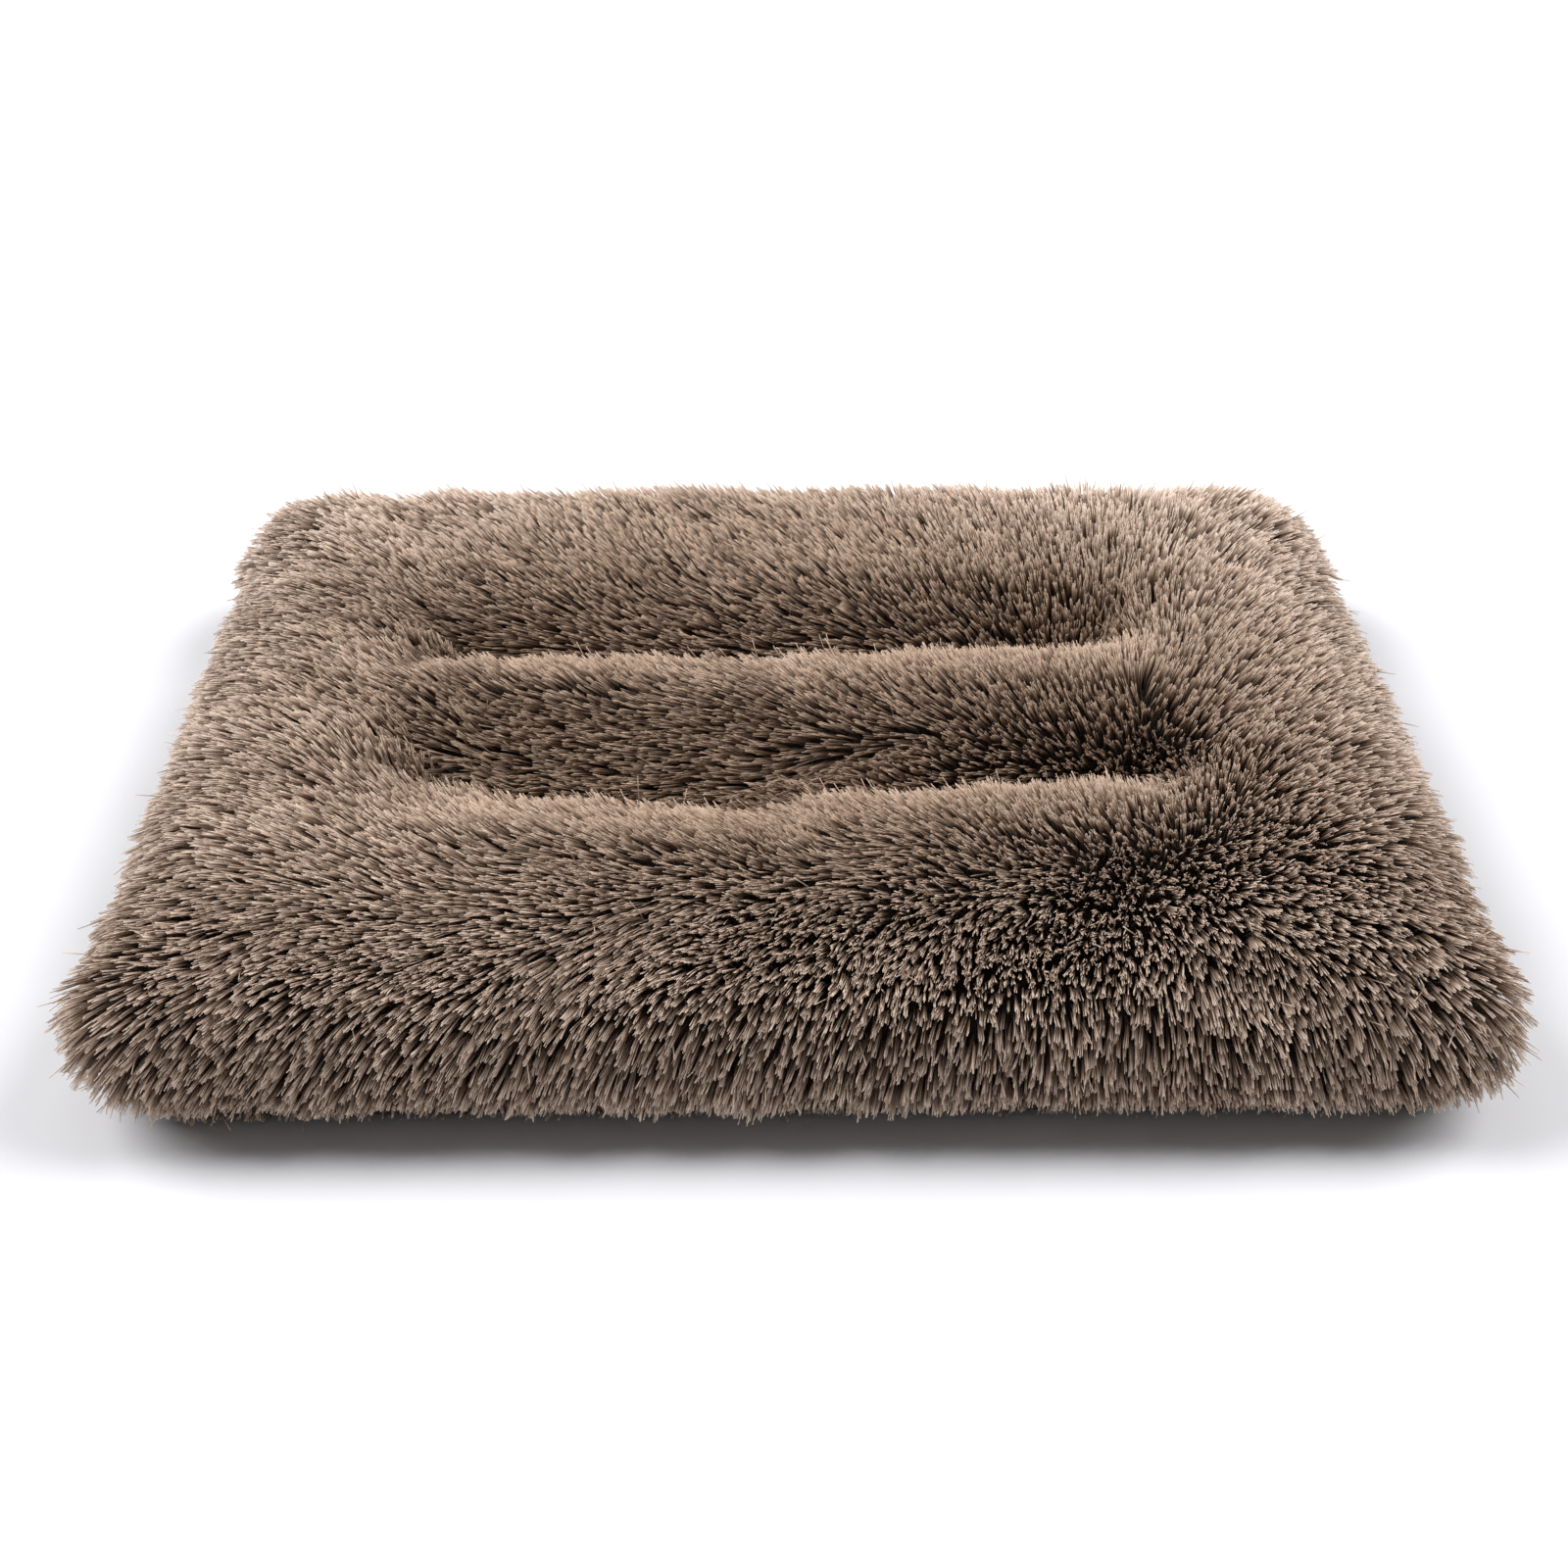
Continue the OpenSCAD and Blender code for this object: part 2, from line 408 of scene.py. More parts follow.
def fibre_material():
    """Loose white polyester fibre."""
    s = Shader("polyester_fibre", roughness=0.95, specular=0.1)
    fluff = s.texture("ShaderNodeTexNoise", Scale=160, Detail=6)
    s.colour(s.ramp(fluff.outputs[0], [(0.25, (0.55, 0.54, 0.52)), (0.7, (0.88, 0.88, 0.86))]))
    s.bump(fluff.outputs[0], strength=0.6, distance=0.001)
    return s.material


def dot_material():
    """Rubbery printed dots: matt, a little uneven in tone."""
    s = Shader("grip_dot_rubber", roughness=0.55, specular=0.4)
    wear = s.texture("ShaderNodeTexNoise", Scale=90)
    s.colour(s.ramp(wear.outputs[0], [
        (0.3, (0.020, 0.016, 0.014)),
        (0.7, (0.045, 0.037, 0.032)),
    ]))
    return s.material


def thread_material():
    """Twisted sewing thread."""
    s = Shader("twisted_thread", roughness=0.5, specular=0.3)
    twist = s.texture(
        "ShaderNodeTexWave", wave_type="BANDS", bands_direction="DIAGONAL", Scale=900
    )
    s.colour(s.ramp(twist.outputs[0], [
        (0.0, (0.045, 0.028, 0.018)),
        (1.0, (0.13, 0.085, 0.06)),
    ]))
    return s.material


# ---------------------------------------------------------------- the stuffed form under the pile

def channel_line(x, low, high):
    """Where a channel's lowest line runs at x, as a y."""
    bend = FRONT_BEND * smoothstep(0.0, FRONT_BEND_LENGTH, -x) if high.y < 0 else 0.0
    return (low.y + high.y) / 2 + bend


def valley_drop(x, y):
    """How far the ground cloth is drawn down at a place, from 0 to 1."""
    drop = np.zeros(len(x))
    for low, high in CHANNELS:
        middle = channel_line(x, low, high)
        beyond = np.maximum(np.maximum(low.x - x, x - high.x), 0)
        away = np.hypot(beyond * CHANNEL_END, y - middle) / CHANNEL_HALF_W
        away = np.clip(1 - away, 0, 1)
        circle = 1 - np.sqrt(1 - away ** 2)
        drop = np.maximum(drop, CIRCLE_SHARE * circle + PARABOLA_SHARE * away ** 2)
    return drop


def crown_fall(x, y):
    """How far the stuffing falls away at a place towards the outline and the middle, in metres."""
    across, deep = np.abs(x) / HALF_W, np.abs(y) / HALF_D
    edge = np.minimum(HALF_W - GROUND_IN - np.abs(x), HALF_D - GROUND_IN - np.abs(y))
    fall = CROWN_FALL * (1 - np.clip(edge / CROWN_WIDTH, 0, 1)) ** 2
    front = np.clip((-y - FRONT_FROM) / (HALF_D - GROUND_IN - FRONT_FROM), 0, 1)
    fall += FRONT_FALL * front ** FRONT_FALL_POWER * (1 - smoothstep(0.80, 0.98, across))
    return fall + MIDDLE_SAG * (1 - smoothstep(0.45, 0.85, across)) * (
        1 - smoothstep(0.45, 0.85, deep)
    )


def inside_base(x, y):
    """How far a place is inside the outline of the base panel, in metres."""
    over_x = np.abs(x) - (base_high.x - BASE_CORNER_R)
    over_y = np.abs(y) - (base_high.y - BASE_CORNER_R)
    corner = np.hypot(np.maximum(over_x, 0), np.maximum(over_y, 0))
    return BASE_CORNER_R - corner - np.minimum(np.maximum(over_x, over_y), 0)


def rounded_block(inset, low_z, high_z, low_r, high_r):
    """A closed block with the bed's outline set in all round, its corners and edges rounded."""
    bm = bmesh.new()
    bmesh.ops.create_cube(bm, size=1)
    half_w, half_d = HALF_W - inset, HALF_D - inset
    for v in bm.verts:
        v.co = Vector((
            math.copysign(half_w, v.co.x),
            math.copysign(half_d, v.co.y),
            high_z if v.co.z > 0 else low_z,
        ))
    upright = [e for e in bm.edges if abs(e.verts[0].co.z - e.verts[1].co.z) > 1e-6]
    bmesh.ops.bevel(
        bm, geom=upright, offset=CORNER_R - inset, offset_type="OFFSET",
        segments=14, profile=0.5, affect="EDGES",
    )
    for level, radius in ((high_z, high_r), (low_z, low_r)):
        rim = [
            e for e in bm.edges
            if all(abs(v.co.z - level) < 1e-6 for v in e.verts)
            and any(abs(f.normal.z) < 0.5 for f in e.link_faces)
        ]
        bmesh.ops.bevel(
            bm, geom=rim, offset=radius, offset_type="OFFSET",
            segments=8, profile=0.5, affect="EDGES",
        )
    mesh = bpy.data.meshes.new("block")
    bm.to_mesh(mesh)
    bm.free()
    return mesh


def apply_modifiers(piece):
    bpy.context.view_layer.update()
    shown = piece.evaluated_get(bpy.context.evaluated_depsgraph_get())
    mesh = bpy.data.meshes.new_from_object(shown)
    piece.modifiers.clear()
    piece.data = mesh


def cushion_form():
    """The stuffed cushion to the face of its ground cloth: remeshed, drawn down and inflated."""
    piece = bpy.data.objects.new("fibre_filling", rounded_block(
        GROUND_IN, FORM_FLOOR_Z, fill_high.z - TOP_SWELL, BLOCK_LOW_R, BLOCK_HIGH_R
    ))
    bpy.context.scene.collection.objects.link(piece)
    remesh = piece.modifiers.new("Remesh", "REMESH")
    remesh.mode = "VOXEL"
    remesh.voxel_size = FORM_GRID
    apply_modifiers(piece)
    points = coords(piece.data)
    # The underside stays flat
    upper = smoothstep(base_high.z + 0.004, fill_high.z - 0.006, points[:, 2])
    points[:, 2] -= upper * crown_fall(points[:, 0], points[:, 1])
    points[:, 2] -= upper * CHANNEL_DROP * valley_drop(points[:, 0], points[:, 1])
    set_coords(piece.data, points)
    inflate(piece)
    smooth = piece.modifiers.new("Smooth", "SMOOTH")
    smooth.iterations = 4
    smooth.factor = 0.5
    apply_modifiers(piece)
    # Room round the edge of the base for the turned-in ground cloth
    points = coords(piece.data)
    rise = UNDER_ROOM * (1 - smoothstep(0.010, 0.022, inside_base(points[:, 0], points[:, 1])))
    points[:, 2] = np.maximum(points[:, 2], FORM_FLOOR_Z + rise)
    set_coords(piece.data, points)
    return piece


def inflate(piece, frames=20, pressure=4.0, cap=0.004):
    """Swells the cushion with the cloth solver, held along its channels and where it lies flat."""
    before = coords(piece.data)
    held = (valley_drop(before[:, 0], before[:, 1]) > 0.92) | (before[:, 2] < base_high.z + 0.003)
    group = piece.vertex_groups.new(name="held")
    group.add([int(i) for i in np.flatnonzero(held)], 1.0, "REPLACE")
    cloth = piece.modifiers.new("Cloth", "CLOTH")
    cloth.settings.vertex_group_mass = "held"
    cloth.settings.use_pressure = True
    cloth.settings.uniform_pressure_force = pressure
    cloth.settings.effector_weights.gravity = 0
    cloth.settings.quality = 6
    cloth.point_cache.frame_start = 1
    cloth.point_cache.frame_end = frames
    scene = bpy.context.scene
    for step in range(1, frames + 1):
        scene.frame_set(step)
    shown = piece.evaluated_get(bpy.context.evaluated_depsgraph_get())
    move = coords(shown.data) - before
    piece.modifiers.clear()
    scene.frame_set(1)
    length = np.linalg.norm(move, axis=1, keepdims=True)
    move *= np.minimum(1.0, cap / np.maximum(length, 1e-9))
    set_coords(piece.data, before + move)


# ---------------------------------------------------------------- ground cloth and underside

PLUSH_PARTS = [
    ("top", "top_plush_panel"),
    ("front", "front_boxing_strip"),
    ("rear", "rear_boxing_strip"),
]


def zone_of(points, normals):
    """Which plush part each place belongs to: 0 top, 1 front strip, 2 rear strip."""
    top = (points[:, 2] > TOP_SEAM_Z - PLUSH / 2) | (normals[:, 2] > 0.6)
    return np.where(top, 0, np.where(points[:, 1] < 0, 1, 2))


def surface_of(mesh):
    """Vertex places, triangles and vertex normals of a mesh as arrays."""
    mesh.calc_loop_triangles()
    triangles = np.empty(len(mesh.loop_triangles) * 3, np.int32)
    mesh.loop_triangles.foreach_get("vertices", triangles)
    normals = np.empty(len(mesh.vertices) * 3, np.float32)
    mesh.vertex_normals.foreach_get("vector", normals)
    return coords(mesh), triangles.reshape(-1, 3), normals.reshape(-1, 3).astype(float)


def ground_cloth(name, points, triangles, normals, number):
    """The skin of the stuffed form in one zone, thickened into a closed sheet lying on the form."""
    centres = points[triangles].mean(1)
    facing = unit(normals[triangles].sum(1))
    under = (facing[:, 2] < -0.5) & (inside_base(centres[:, 0], centres[:, 1]) > TURN_IN)
    wanted = (zone_of(centres, facing) == number) & ~under
    used, faces = np.unique(triangles[wanted], return_inverse=True)
    inner = points[used] + normals[used] * CLOTH_GAP
    outer = inner + normals[used] * GROUND_T
    return closed_sheet(name, inner, outer, faces.reshape(-1, 3))


def stitch_row(
    name, nodes, path, material, pitch=STITCH_PITCH, gap=STITCH_GAP, radius=THREAD_R
):
    """Separate stitches of thread along a path, each a small rounded roll with sunk ends."""
    path = np.asarray(path, float)
    steps = np.linalg.norm(np.diff(path, axis=0), axis=1)
    travelled = np.concatenate([[0], np.cumsum(steps)])
    starts = np.arange(0, travelled[-1] - pitch, pitch)

    def at(distance):
        return np.stack([np.interp(distance, travelled, path[:, i]) for i in range(3)], -1)

    # Places of the rings along a stitch, and their girth
    shares = np.array([0.0, 0.12, 0.5, 0.88, 1.0])
    girth = np.array([0.35, 0.85, 1.0, 0.85, 0.35])
    spine = at(starts[:, None] + shares[None] * (pitch - gap))
    way = unit(spine[:, -1] - spine[:, 0])
    first = unit(np.cross(way, np.array([0.31, 0.17, 0.93])))
    second = np.cross(way, first)
    sides = 6
    corners = []
    for ring in range(len(shares)):
        for side in range(sides):
            a = side * 2 * math.pi / sides
            corners.append(spine[:, ring] + radius * girth[ring] * (
                first * math.cos(a) + second * math.sin(a)
            ))
    points = np.stack(corners, 1)
    triangles = repeated(tube_pattern(len(shares), sides), len(points))
    mesh = mesh_of_triangles(name, points.reshape(-1, 3), triangles)
    piece = add_object(name, mesh, material=material)
    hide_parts(*nodes)
    return piece


def outline_path(inset, z, steps=12):
    """The bed's outline set in by a distance, closed, starting at the middle of the rear side."""
    half_w, half_d = HALF_W - inset, HALF_D - inset
    r = CORNER_R - inset if inset < CORNER_R - 0.004 else 0.004
    path = [(0, half_d, z)]
    for turn, (sx, sy) in enumerate(((1, 1), (1, -1), (-1, -1), (-1, 1))):
        for i in range(steps + 1):
            a = math.pi / 2 * (1 - turn) - math.pi / 2 * i / steps
            path.append((
                sx * (half_w - r) + r * math.cos(a), sy * (half_d - r) + r * math.sin(a), z,
            ))
    return path + [(0, half_d, z)]


def base_cloth(material):
    """The flat base panel, a rectangle with rounded corners just off the floor."""
    bm = bmesh.new()
    bmesh.ops.create_grid(bm, x_segments=94, y_segments=70, size=0.5)
    half_w, half_d, r = base_high.x, base_high.y, BASE_CORNER_R
    for v in bm.verts:
        # A square grid drawn out to a rectangle with rounded corners
        x, y = v.co.x * 2 * half_w, v.co.y * 2 * half_d
        over_x, over_y = abs(x) - (half_w - r), abs(y) - (half_d - r)
        if over_x > 0 and over_y > 0:
            reach = math.hypot(over_x, over_y)
            scale = max(over_x, over_y) / reach
            x = math.copysign(half_w - r + over_x * scale, x)
            y = math.copysign(half_d - r + over_y * scale, y)
        v.co = Vector((x, y, 0))
    points = np.array([v.co[:] for v in bm.verts])
    bmesh.ops.triangulate(bm, faces=bm.faces[:])
    faces = np.array([[v.index for v in f.verts] for f in bm.faces])
    bm.free()
    # Slightly uneven inside, and raised a little at the edge where the seam pulls it up
    dome = 0.0005 * waves(points, 0.05, SEED + 9)
    edge = np.minimum(half_w - np.abs(points[:, 0]), half_d - np.abs(points[:, 1]))
    lift = BASE_CLOTH_LIFT + dome * smoothstep(0.0, 0.02, edge)
    lift = lift + 0.0008 * (1 - smoothstep(0.0, 0.008, edge))
    bottom = points + np.array([0, 0, 1.0]) * np.maximum(lift, 0.0007)[:, None]
    top = bottom + np.array([0, 0, BASE_CLOTH_T])
    cloth = add_object(
        "base_cloth", closed_sheet("base_cloth", bottom, top, faces),
        material=material,
    )
    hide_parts("base_panel")
    return cloth


def grip_dots(material):
    """The printed dots under the base cloth, in staggered rows: flat domes that reach the floor."""
    centres = [
        (x * DOT_PITCH + (y % 2) * DOT_PITCH / 2, y * DOT_PITCH * 0.87)
        for y in range(-22, 23)
        for x in range(-26, 27)
    ]
    centres = np.array([
        (x, y) for x, y in centres
        if abs(x) < base_high.x - DOT_BORDER and abs(y) < base_high.y - DOT_BORDER
    ])
    # Each ring as a share of the radius and a height, from the cloth down
    rings = ((1.0, DOT_TALL), (0.92, 0.0006), (0.55, 0.0001))
    sides = 10
    turn = np.arange(sides) * 2 * math.pi / sides
    spots = [
        np.stack([
            centres[:, None, 0] + DOT_R * share * np.cos(turn),
            centres[:, None, 1] + DOT_R * share * np.sin(turn),
            np.full((len(centres), sides), z),
        ], 2)
        for share, z in rings
    ]
    tips = np.stack([centres[:, 0], centres[:, 1], np.zeros(len(centres))], 1)[:, None]
    spots = np.concatenate(spots + [tips], 1)
    pattern = [(0, c, c + 1) for c in range(1, sides - 1)]
    for ring in range(len(rings) - 1):
        for c in range(sides):
            a = ring * sides + c
            b = ring * sides + (c + 1) % sides
            pattern += [(a, b + sides, b), (a, a + sides, b + sides)]
    last, tip = (len(rings) - 1) * sides, len(rings) * sides
    pattern += [(last + c, tip, last + (c + 1) % sides) for c in range(sides)]
    triangles = repeated(np.array(pattern), len(spots))
    dots = add_object(
        "grip_dots", mesh_of_triangles("grip_dots", spots.reshape(-1, 3), triangles),
        material=material,
    )
    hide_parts("base_panel")
    return dots


def underside(thread):
    """Base cloth with its dots, and the stitching round its edge."""
    weave = knit_material(
        "base_cloth_weave", (0.055, 0.040, 0.032), (0.115, 0.086, 0.070), 900
    )
    cloth = base_cloth(weave)
    dots = grip_dots(dot_material())
    path = outline_path(UNDER_IN + 0.0018, FLOOR_Z + 0.0018)
    stitch_row("base_seam_stitches", ["base_edge_stitching"], path, thread)


def laid_on(tree, path, lift):
    """The path moved to the nearest place on the stuffed form and lifted off it."""
    made = []
    for point in path:
        place, normal, _, _ = tree.find_nearest(Vector(point))
        made.append(tuple(place + normal * lift))
    return made


def line_path(start, end, steps=60):
    start, end = np.array(start, float), np.array(end, float)
    return [tuple(start + (end - start) * i / steps) for i in range(steps + 1)]


def seams(form_points, form_tris, thread):
    """The stitching of the plush parts, laid on their ground cloth."""
    tree = BVHTree.FromPolygons(form_points.tolist(), form_tris.tolist())
    path = laid_on(tree, outline_path(GROUND_IN, TOP_SEAM_Z - PLUSH / 2), STITCH_LIFT)
    stitch_row("top_seam_stitches", ["top_edge_stitching"], path, thread)
    low_z, high_z = (corner.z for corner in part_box("left_join_stitching"))
    for name, side in (("left", -1), ("right", 1)):
        x = side * (HALF_W - GROUND_IN)
        path = laid_on(tree, line_path((x, 0, low_z), (x, 0, high_z), 12), STITCH_LIFT)
        stitch_row(f"{name}_join_stitches", [f"{name}_join_stitching"], path, thread)
    low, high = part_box("closing_stitching")
    y, z = HALF_D - GROUND_IN, (low.z + high.z) / 2
    path = laid_on(tree, line_path((low.x, y, z), (high.x, y, z)), STITCH_LIFT)
    stitch_row("closing_stitches", ["closing_stitching"], path, thread, pitch=0.006)
    for name, (low, high) in zip(("front", "rear"), CHANNELS):
        fold = []
        for x, _, _ in line_path((low.x, 0, 0), (high.x, 0, 0), 90):
            y = float(channel_line(x, low, high))
            place, _, _, _ = tree.ray_cast(Vector((x, y, HEIGHT)), Vector((0, 0, -1)))
            fold.append((x, y, place.z + STITCH_LIFT))
        stitch_row(
            f"{name}_channel_stitches", [f"{name}_channel_stitching"], fold, thread,
            pitch=0.007, radius=0.0005,
        )


# ---------------------------------------------------------------- the pile

def scatter(points, triangles, spacing, rng):
    """Places on a surface no nearer each other than spacing, with the triangle that each is on."""
    a, b, c = (points[triangles[:, i]] for i in range(3))
    area = np.linalg.norm(np.cross(b - a, c - a), axis=1) / 2
    tries = int(area.sum() / spacing ** 2 * 4)
    chosen = rng.choice(len(triangles), tries, p=area / area.sum())
    u, v = rng.random(tries), rng.random(tries)
    flip = u + v > 1
    u[flip], v[flip] = 1 - u[flip], 1 - v[flip]
    w = 1 - u - v
    places = (
        a[chosen] * w[:, None] + b[chosen] * u[:, None] + c[chosen] * v[:, None]
    )
    cells = np.floor(places / spacing).astype(int)
    near = [(i, j, k) for i in (-1, 0, 1) for j in (-1, 0, 1) for k in (-1, 0, 1)]
    taken, kept, limit = {}, [], spacing ** 2
    listed, keys = places.tolist(), [tuple(x) for x in cells.tolist()]
    for index, ((x, y, z), (i, j, k)) in enumerate(zip(listed, keys)):
        clear = True
        for di, dj, dk in near:
            other = taken.get((i + di, j + dj, k + dk))
            if other and any(
                (x - p) ** 2 + (y - q) ** 2 + (z - r) ** 2 < limit for p, q, r in other
            ):
                clear = False
                break
        if clear:
            taken.setdefault((i, j, k), []).append((x, y, z))
            kept.append(index)
    kept = np.array(kept)
    return places[kept], chosen[kept], np.stack([w, u, v], 1)[kept]


def lay_of(points, normals):
    """The way the pile lies, along the surface, and how far it leans over from upright."""
    across, deep = np.abs(points[:, 0]) / HALF_W, points[:, 1] / HALF_D
    (x0, y0), (x1, y1) = PARTING
    along = np.clip((deep - y1) / (y0 - y1), 0, 1)
    centre_x = (x1 + (x0 - x1) * along) * HALF_W
    centre_y = 0.7 * (y1 + (y0 - y1) * along) * HALF_D
    away = np.stack([points[:, 0] - centre_x, points[:, 1] - centre_y, np.zeros(len(points))], 1)
    reach = np.hypot(away[:, 0] / HALF_W, away[:, 1] / HALF_D)
    # Outward from the parting, turned a little here and there
    turn = WIDE_TURN * waves(points, 0.10, SEED + 1)
    turn = turn + NARROW_TURN * waves(points, 0.035, SEED + 5)
    out = unit(away)
    out = np.stack([
        out[:, 0] * np.cos(turn) - out[:, 1] * np.sin(turn),
        out[:, 0] * np.sin(turn) + out[:, 1] * np.cos(turn),
        np.zeros(len(points)),
    ], 1)
    # Combed forward over the front lobe, and down on the sides
    side = 1 - np.clip(normals[:, 2], 0, 1)
    fore = smoothstep(0.45, 0.85, -points[:, 1] / HALF_D) * (
        1 - 0.6 * smoothstep(0.65, 1.0, across)
    )
    fore = fore[:, None] * np.array([0, -FORE_PULL, 0])
    down = np.array([0, 0, -DOWN_PULL]) * side[:, None]
    wish = (out + fore) * (1 - 0.6 * side)[:, None] + down
    lay = unit(wish - (wish * normals).sum(1, keepdims=True) * normals)
    # Leaning most near the outline, but less so in front and behind than at the sides
    border = smoothstep(0.60, 0.95, np.maximum(across, np.abs(deep)))
    border *= 1 - 0.9 * smoothstep(0.45, 0.75, -points[:, 1] / HALF_D)
    border *= 1 - 0.7 * smoothstep(0.50, 0.85, deep)
    lean = LEAN + LEAN_AWAY * smoothstep(0.0, 0.6, reach) + LEAN_BORDER * border
    lean += LEAN_WAVES * waves(points, 0.045, SEED + 2)
    return lay, np.radians(np.clip(lean, *LEAN_LIMITS))


def per_strand(values):
    """The values of the tufts, repeated for each of their strands."""
    return np.repeat(values, STRANDS_PER_TUFT, axis=0)


def lower_corner(points):
    """How much a tuft belongs to one of the bed's four lower corners, from 0 to 1."""
    return smoothstep(0.80, 0.97, np.abs(points[:, 0]) / HALF_W) * smoothstep(
        0.78, 0.95, np.abs(points[:, 1]) / HALF_D
    ) * (1 - smoothstep(0.030, 0.045, points[:, 2]))


def tuft_looks(points, lean, rng):
    """Each tuft's length, lean and tone, and whether it is one of the short ones."""
    count = len(points)
    length = PILE_LENGTH * (
        1 + 0.08 * waves(points, 0.03, SEED + 3) + 0.06 * rng.normal(size=count)
    )
    # Crushed short where the bed stands
    length *= 0.45 + 0.55 * smoothstep(0.004, 0.034, points[:, 2] - FLOOR_Z)
    short = (points[:, 2] < FLOOR_Z + SHORT_BELOW) & (rng.random(count) < SHORT_SHARE)
    length = np.where(short, SHORT_LENGTH, length)
    lean = np.where(short, SHORT_LEAN, lean)
    tone = 0.5 + 0.14 * waves(points, 0.05, SEED + 4) + 0.20 * rng.normal(size=count)
    return length, lean, tone, short


def strand_lines(points, normal, along, across, length, lean, corner, rng):
    """The root, bend and tip of every strand. The points, length and lean are the tufts'."""
    many = len(normal)
    angle = rng.uniform(0, 2 * math.pi, many)
    radius = TUFT_R * np.sqrt(rng.random(many))
    offset = (
        along * (radius * np.cos(angle))[:, None] + across * (radius * np.sin(angle))[:, None]
    )
    tuft_stray = per_strand(rng.normal(scale=TUFT_STRAY, size=(len(points), 3)))
    stray = tuft_stray + rng.normal(scale=STRAND_STRAY, size=(many, 3))
    loose = rng.random(many) < LOOSE_SHARE + CORNER_LOOSE * corner
    stray += loose[:, None] * rng.normal(scale=LOOSE_STRAY, size=(many, 3))
    size = per_strand(length) * rng.uniform(0.90, 1.0, many) * np.where(loose, LOOSE_GROWTH, 1.0)
    size *= 1 + CORNER_GROWTH * corner
    line = [per_strand(points) + offset - normal * ROOT_SUNK]
    for i, share in enumerate(LEAN_SHARES):
        bend = np.minimum(per_strand(lean) * share, MOST_LEAN)
        way = unit(normal * np.cos(bend)[:, None] + along * np.sin(bend)[:, None] + stray)
        part = STRAND_SHARES[i + 1] - STRAND_SHARES[i]
        line.append(line[-1] + way * (size * part)[:, None])
    return np.stack(line, 1)


def settle(line, points, normal, corner, short, rng):
    """Keeps the lowest tips off the floor and curls them under with the rounded lower edge."""
    above = per_strand(points[:, 2]) - FLOOR_Z
    outer = smoothstep(0.010, 0.022, above) * (1 - corner)
    ragged = RAGGED * per_strand(waves(points * np.array([1, 1, 0]), 0.05, SEED + 6))
    raised = smoothstep(0.009, 0.015, above) * ~short
    outer = outer * ~short
    low = FLOOR_Z + (TIP_GAP + (FRINGE_GAP + ragged) * raised + OUTER_GAP * outer)[:, None]
    low = low + TIP_SCATTER * rng.random((len(line), 2)) * (0.2 + 0.8 * raised)[:, None]
    line[:, 1:, 2] = np.clip(line[:, 1:, 2], low, HEIGHT + TIP_ROOM)
    tuck = TUCK * np.clip(1 - (line[:, 1:, 2] - FLOOR_Z) / TUCK_BELOW, 0, 1) ** 2
    tuck *= (smoothstep(-0.2, 0.2, 0.5 - normal[:, 2]) * (1 - 0.3 * corner))[:, None]
    tuck *= (0.10 + 0.90 * raised)[:, None]
    outward = unit(normal * np.array([1, 1, 0]))
    line[:, 1:] -= outward[:, None] * tuck[:, :, None]


def strand_tubes(line, across, rng):
    """The corners of a thin tube round each strand's line, ring by ring."""
    many = len(line)
    way = unit(line[:, 2] - line[:, 0])
    first = unit(np.cross(way, across + 0.01))
    second = np.cross(way, first)
    spin = rng.uniform(0, 2 * math.pi, many)
    radii = STRAND_R * np.array(RING_SHARES)
    corners = np.empty((many, len(radii) * STRAND_SIDES, 3))
    for ring in range(len(radii)):
        for side in range(STRAND_SIDES):
            a = spin + side * 2 * math.pi / STRAND_SIDES
            corners[:, ring * STRAND_SIDES + side] = line[:, ring] + radii[ring] * (
                first * np.cos(a)[:, None] + second * np.sin(a)[:, None]
            )
    return corners


def strand_map(tone, rng):
    """Map places of the tubes' corners: the column of the strand's tone, and the place along it."""
    column = np.clip(tone + 0.16 * rng.normal(size=len(tone)), 0, 0.999)
    column = np.floor(column * TONES)
    place_u = np.array([0.1, 0.5, 0.9] * len(STRAND_SHARES)) / TONES
    place_v = np.repeat(STRAND_SHARES, STRAND_SIDES) * 0.98 + 0.01
    u = column[:, None] / TONES + place_u[None]
    return np.stack([u, np.broadcast_to(place_v, u.shape)], 2)


def strand_arrays(points, normals, rng):
    """Corners and map places of every strand of every tuft at the points."""
    lay, lean = lay_of(points, normals)
    length, lean, tone, short = tuft_looks(points, lean, rng)
    corner = per_strand(lower_corner(points))
    normal, along = per_strand(normals), per_strand(lay)
    across = np.cross(normal, along)
    line = strand_lines(points, normal, along, across, length, lean, corner, rng)
    settle(line, points, normal, corner, per_strand(short), rng)
    return strand_tubes(line, across, rng), strand_map(per_strand(tone), rng)


def in_blocks(points, most):
    """Groups of point numbers, each a compact patch of no more than most points."""
    groups = [np.arange(len(points))]
    while max(len(g) for g in groups) > most:
        g = max(groups, key=len)
        groups = [x for x in groups if x is not g]
        spans = points[g].max(0) - points[g].min(0)
        order = g[np.argsort(points[g][:, int(np.argmax(spans))], kind="stable")]
        groups += [order[: len(order) // 2], order[len(order) // 2:]]
    return sorted(groups, key=lambda g: (round(points[g][:, 1].mean(), 3), points[g][:, 0].mean()))


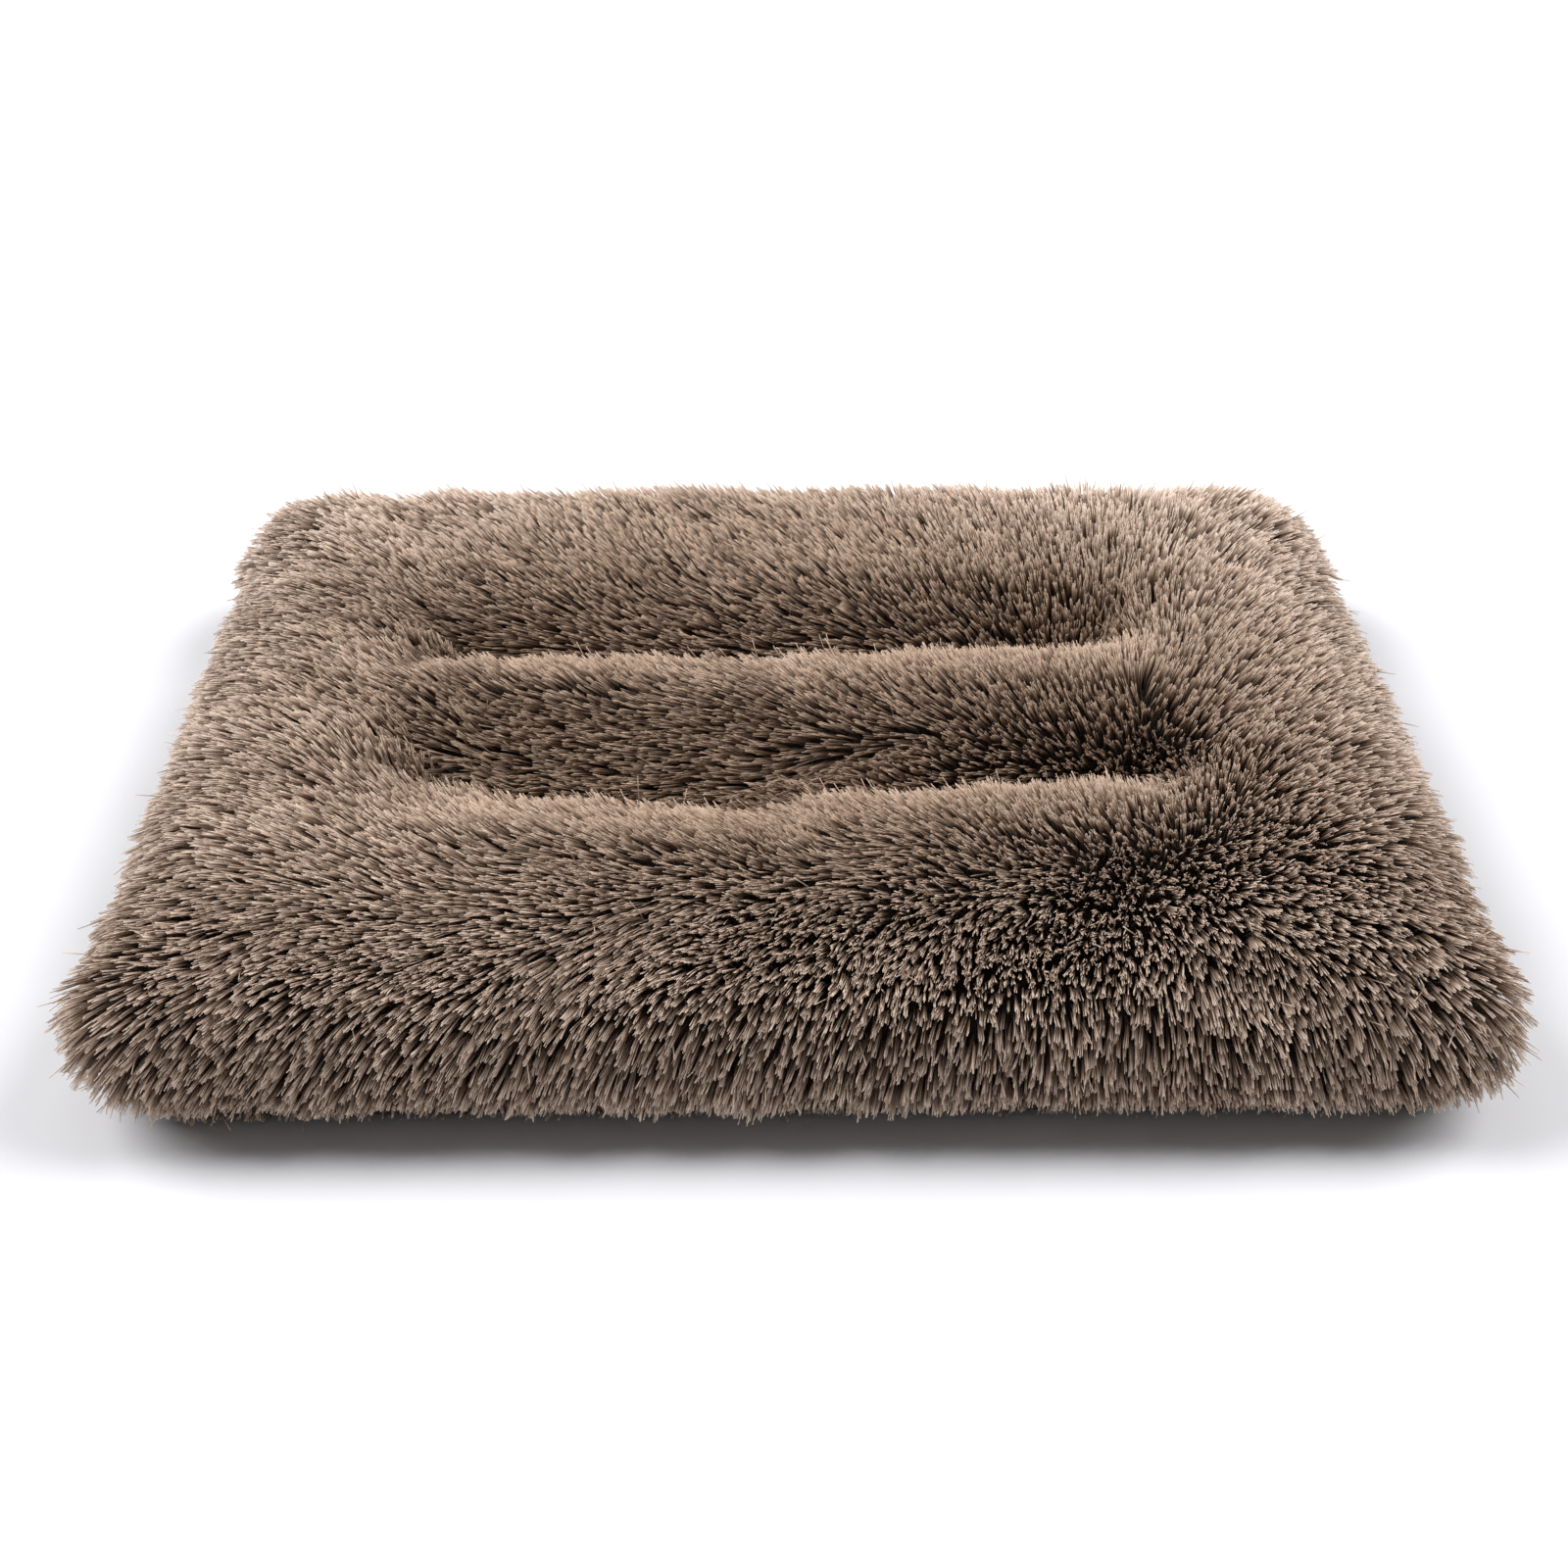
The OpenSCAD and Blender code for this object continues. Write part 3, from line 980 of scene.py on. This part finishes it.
def grow_pile(name, nodes, points, normals, material, rng):
    """The pile of one plush part, in patches of its strands."""
    pattern = tube_pattern(len(STRAND_SHARES), STRAND_SIDES)
    for number, group in enumerate(in_blocks(points, STRANDS_PER_PIECE // STRANDS_PER_TUFT)):
        strands, places = strand_arrays(points[group], normals[group], rng)
        triangles = repeated(pattern, len(strands))
        uv = places.reshape(-1, 2)[triangles.reshape(-1)]
        mesh = mesh_of_triangles(f"{name}_{number:02d}", strands.reshape(-1, 3), triangles, uv)
        piece = add_object(f"{name}_{number:02d}", mesh, material=material)
        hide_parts(*nodes)


# ---------------------------------------------------------------- camera, light and floor

# The camera's place in widths of the bed, its tilt down in degrees and its turn in radians
CAMERA_PLACE = (-0.0175, -1.331, 0.990)
CAMERA_TILT = 36.0
CAMERA_TURN = -0.009
LENS_MM = 46.2
SENSOR_MM = 36

# Name, strength, spread in degrees, and the way to it from the bed
LIGHTS = (
    ("rear", 0.3, 30, (-0.10, 0.80, 1.15)),
    ("left", 4.1, 44, (-1.10, 0.47, 0.87)),
    ("right", 3.8, 44, (1.10, 0.47, 0.87)),
)
WORLD_STRENGTH = 0.18
FLOOR_COLOUR = (0.74, 0.74, 0.77, 1)


def make_camera():
    """A camera at the height, distance and tilt that the perspective of the bed's outline gives."""
    width = 2 * HALF_W
    data = bpy.data.cameras.new("camera")
    data.sensor_width = SENSOR_MM
    data.lens = LENS_MM
    data.clip_end = 100
    camera = bpy.data.objects.new("camera", data)
    camera.location = [share * width for share in CAMERA_PLACE]
    camera.rotation_euler = (math.radians(90 - CAMERA_TILT), 0, CAMERA_TURN)
    bpy.context.scene.collection.objects.link(camera)
    bpy.context.scene.camera = camera


def make_light():
    """Soft studio light, with a white world that only the camera sees at full strength."""
    scene = bpy.context.scene
    scene.view_settings.view_transform = "Standard"
    world = bpy.data.worlds.new("studio")
    world.use_nodes = True
    tree = world.node_tree
    soft = tree.nodes["Background"]
    soft.inputs["Color"].default_value = (1.0, 1.0, 1.0, 1)
    soft.inputs["Strength"].default_value = WORLD_STRENGTH
    white = tree.nodes.new("ShaderNodeBackground")
    white.inputs["Strength"].default_value = 1.0
    path = tree.nodes.new("ShaderNodeLightPath")
    mix = tree.nodes.new("ShaderNodeMixShader")
    tree.links.new(path.outputs["Is Camera Ray"], mix.inputs[0])
    tree.links.new(soft.outputs[0], mix.inputs[1])
    tree.links.new(white.outputs[0], mix.inputs[2])
    tree.links.new(mix.outputs[0], tree.nodes["World Output"].inputs["Surface"])
    scene.world = world

    for name, strength, spread, towards in LIGHTS:
        sun = bpy.data.lights.new(name, "SUN")
        sun.energy = strength
        sun.angle = math.radians(spread)
        lamp = bpy.data.objects.new(name, sun)
        lamp.rotation_euler = Vector(towards).to_track_quat("Z", "Y").to_euler()
        scene.collection.objects.link(lamp)


def make_floor():
    """A plain pale floor just under the bed."""
    bm = bmesh.new()
    bmesh.ops.create_grid(bm, x_segments=8, y_segments=8, size=12)
    mesh = bpy.data.meshes.new("floor")
    bm.to_mesh(mesh)
    bm.free()
    floor = bpy.data.objects.new("floor", mesh)
    floor.location.z = FLOOR_Z - 0.0005
    bpy.context.scene.collection.objects.link(floor)
    s = Shader("pale_floor", roughness=1.0, specular=0.0)
    s.main.inputs["Base Color"].default_value = FLOOR_COLOUR
    mesh.materials.append(s.material)


# ---------------------------------------------------------------- building

make_camera()
make_light()
make_floor()

pile_look = pile_material()
# The ground cloth is coloured dark brown as painted shade in the gaps between the tufts
ground_look = knit_material(
    "plush_ground_knit", (0.060, 0.039, 0.028), (0.120, 0.082, 0.060), 1400
)

form = cushion_form()
form_points, form_tris, form_normals = surface_of(form.data)

rng = np.random.default_rng(SEED)
roots, on_face, weights = scatter(form_points, form_tris, TUFT_SPACING, rng)
corner_normals = form_normals[form_tris[on_face]]
root_normals = unit((corner_normals * weights[:, :, None]).sum(1))

# No pile under the bed, where the base panel is
covered = root_normals[:, 2] > BARE_NORMAL_Z
roots, root_normals = roots[covered], root_normals[covered]
zone = zone_of(roots, root_normals)
for number, (name, node) in enumerate(PLUSH_PARTS):
    here = zone == number
    grow_pile(f"{name}_pile", [node], roots[here], root_normals[here], pile_look, rng)
    ground_mesh = ground_cloth(f"{name}_ground", form_points, form_tris, form_normals, number)
    ground = add_object(f"{name}_ground", ground_mesh, material=ground_look)
    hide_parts(node)

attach(form, "root")
form.data.materials.clear()
form.data.materials.append(fibre_material())
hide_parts("fibre_fill")

thread_look = thread_material()
underside(thread_look)
seams(form_points, form_tris, thread_look)
